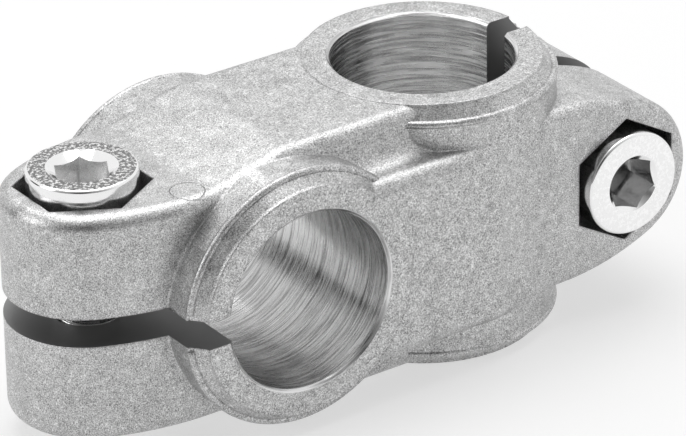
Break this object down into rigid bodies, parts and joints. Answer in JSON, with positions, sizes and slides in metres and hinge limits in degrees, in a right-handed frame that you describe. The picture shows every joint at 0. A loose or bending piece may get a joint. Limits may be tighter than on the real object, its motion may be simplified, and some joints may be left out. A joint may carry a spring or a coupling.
{
  "type": "tube connector",
  "caption": "Crossed split clamp that joins two round tubes at right angles, each bore closed by a hex socket cap screw through its lug.",
  "frame": {"origin": "midway between the two bore axes, at the centre of the body's height and width", "axes": "+X from the level bore to the upright bore, +Y along the level bore, +Z along the upright bore, upwards"},
  "size_m": [0.0866, 0.034, 0.034],
  "materials": {
    "cast_aluminium": "fine blasted casting with turned bores",
    "plated_steel": "bright plated"
  },
  "bodies": {
    "clamp": {"clamp_body": "cast_aluminium", "level_clamp_nut": "plated_steel", "upright_clamp_nut": "plated_steel"},
    "level_screw": {"level_clamp_screw": "plated_steel"},
    "upright_screw": {"upright_clamp_screw": "plated_steel"}
  },
  "joints": [
    {"name": "level_screw_turn", "type": "hinge", "parent": "clamp", "child": "level_screw", "pos_m": [-0.0336, 0, 0], "axis": [0, 0, 1], "continuous": true},
    {"name": "upright_screw_turn", "type": "hinge", "parent": "clamp", "child": "upright_screw", "pos_m": [0.0336, 0, 0], "axis": [0, -1, 0], "continuous": true}
  ]
}
